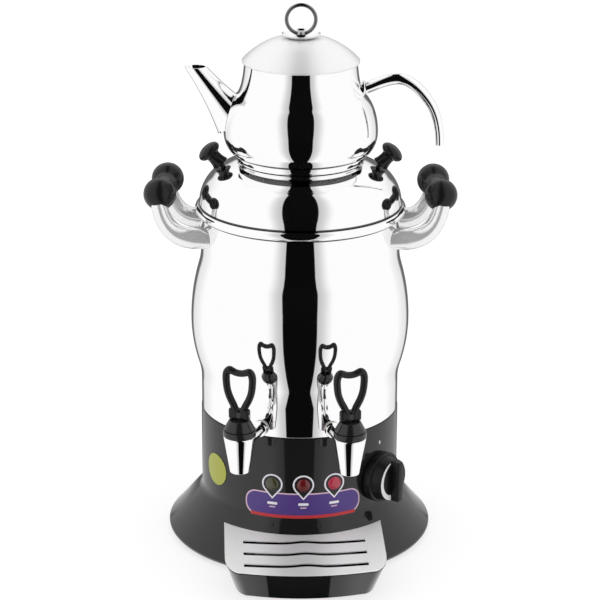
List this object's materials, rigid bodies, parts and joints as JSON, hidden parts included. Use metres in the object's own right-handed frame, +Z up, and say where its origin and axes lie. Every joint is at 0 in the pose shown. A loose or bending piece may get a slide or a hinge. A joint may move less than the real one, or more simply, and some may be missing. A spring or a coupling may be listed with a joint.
{
  "type": "samovar",
  "caption": "Electric tea samovar: a steel boiler on a black base with lever taps over a drip tray, side handles and a teapot seated on its lid.",
  "frame": {"origin": "on the table, under the middle of the bounding box", "axes": "+Z up, -Y to the front where the taps are, +X to the right hand of someone facing it"},
  "size_m": [0.3364, 0.3663, 0.6],
  "materials": {
    "polished_steel": "mirror-polished stainless steel",
    "satin_steel": "satin",
    "black_moulding": "glossy black heat-proof moulding",
    "black_bakelite": "glossy black bakelite",
    "black_rubber": "matt",
    "pale_silicone": "matt",
    "brass": "turned",
    "white_ceramic": "matt ceramic",
    "purple_print": "printed film with a satin face",
    "olive_print": "plain printed film",
    "olive_lens": "dark olive lens",
    "dark_red_lens": "dark red lens",
    "bright_red_lens": "bright red lens"
  },
  "bodies": {
    "boiler": {"boiler_shell": "polished_steel", "handle_arm_left_front": "polished_steel", "handle_arm_left_rear": "polished_steel", "handle_arm_right_front": "polished_steel", "handle_arm_right_rear": "polished_steel", "left_tap_body": "polished_steel", "right_tap_body": "polished_steel", "left_tap_spring": "polished_steel", "right_tap_spring": "polished_steel", "heating_element": "satin_steel", "base_housing": "black_moulding", "bottom_cover": "black_moulding", "left_tap_ring": "black_moulding", "right_tap_ring": "black_moulding", "left_tap_bonnet": "black_moulding", "right_tap_bonnet": "black_moulding", "power_inlet": "black_moulding", "handle_grip_left": "black_bakelite", "handle_grip_right": "black_bakelite", "foot_front_left": "black_rubber", "foot_front_right": "black_rubber", "foot_rear_left": "black_rubber", "foot_rear_right": "black_rubber", "left_tap_washer": "pale_silicone", "right_tap_washer": "pale_silicone", "clamp_stud": "brass", "clamp_nut": "brass", "left_tap_nut": "brass", "right_tap_nut": "brass", "terminal_block": "white_ceramic", "thermostat": "white_ceramic", "control_label": "purple_print", "round_label": "olive_print", "lamp_left": "olive_lens", "lamp_middle": "dark_red_lens", "lamp_right": "bright_red_lens"},
    "samovar_lid": {"samovar_lid": "polished_steel", "lid_collar": "polished_steel", "lid_knob_left": "black_bakelite", "lid_knob_right": "black_bakelite"},
    "teapot": {"teapot_body": "polished_steel", "teapot_spout": "polished_steel", "teapot_handle": "polished_steel"},
    "teapot_lid": {"teapot_lid": "polished_steel", "knob_dish": "polished_steel", "knob_ring": "polished_steel", "knob_bush": "black_bakelite", "knob_nut": "brass"},
    "left_valve": {"left_tap_stem": "satin_steel", "left_tap_seat_cup": "pale_silicone"},
    "left_lever": {"left_tap_lever": "black_bakelite", "left_tap_pin": "satin_steel"},
    "right_valve": {"right_tap_stem": "satin_steel", "right_tap_seat_cup": "pale_silicone"},
    "right_lever": {"right_tap_lever": "black_bakelite", "right_tap_pin": "satin_steel"},
    "thermostat_knob": {"thermostat_knob": "black_bakelite", "thermostat_shaft": "satin_steel"},
    "drip_tray": {"drip_tray": "black_moulding"},
    "drip_grille": {"drip_grille": "satin_steel"}
  },
  "joints": [
    {"name": "samovar_lid_lift", "type": "slide", "parent": "boiler", "child": "samovar_lid", "axis": [0, 0, 1], "range_m": [0, 0.08]},
    {"name": "teapot_lift", "type": "slide", "parent": "samovar_lid", "child": "teapot", "axis": [0, 0, 1], "range_m": [0, 0.1]},
    {"name": "teapot_lid_lift", "type": "slide", "parent": "teapot", "child": "teapot_lid", "axis": [0, 0, 1], "range_m": [0, 0.06]},
    {"name": "left_valve_lift", "type": "slide", "parent": "boiler", "child": "left_valve", "axis": [0, 0, 1], "range_m": [0, 0.004], "stiffness_N_per_m": 0.02, "springref_m": 9.634, "deforming": ["left_tap_spring"]},
    {"name": "left_lever_tilt", "type": "hinge", "parent": "left_valve", "child": "left_lever", "pos_m": [-0.06299, -0.11779, 0.1945], "axis": [0.9252, -0.3795, 0], "range_deg": [0, 60], "stiffness_Nm_per_rad": 0.15, "springref_deg": -28.65},
    {"name": "right_valve_lift", "type": "slide", "parent": "boiler", "child": "right_valve", "axis": [0, 0, 1], "range_m": [0, 0.004], "stiffness_N_per_m": 0.02, "springref_m": 9.634, "deforming": ["right_tap_spring"]},
    {"name": "right_lever_tilt", "type": "hinge", "parent": "right_valve", "child": "right_lever", "pos_m": [0.05322, -0.12144, 0.1945], "axis": [0.9472, 0.3206, 0], "range_deg": [0, 60], "stiffness_Nm_per_rad": 0.15, "springref_deg": -28.65},
    {"name": "thermostat_turn", "type": "hinge", "parent": "boiler", "child": "thermostat_knob", "pos_m": [0.08668, -0.03192, 0.088], "axis": [-0.788, 0.6157, 0], "range_deg": [0, 270]},
    {"name": "drip_tray_pull", "type": "slide", "parent": "boiler", "child": "drip_tray", "axis": [0.0419, -0.9991, 0], "range_m": [0, 0.1]},
    {"name": "drip_grille_lift", "type": "slide", "parent": "drip_tray", "child": "drip_grille", "axis": [0, 0, 1], "range_m": [0, 0.018]}
  ],
  "couplings": [
    {"joint": "left_valve_lift", "follows": "left_lever_tilt", "m_per_rad": 0.0038},
    {"joint": "right_valve_lift", "follows": "right_lever_tilt", "m_per_rad": 0.0038}
  ]
}
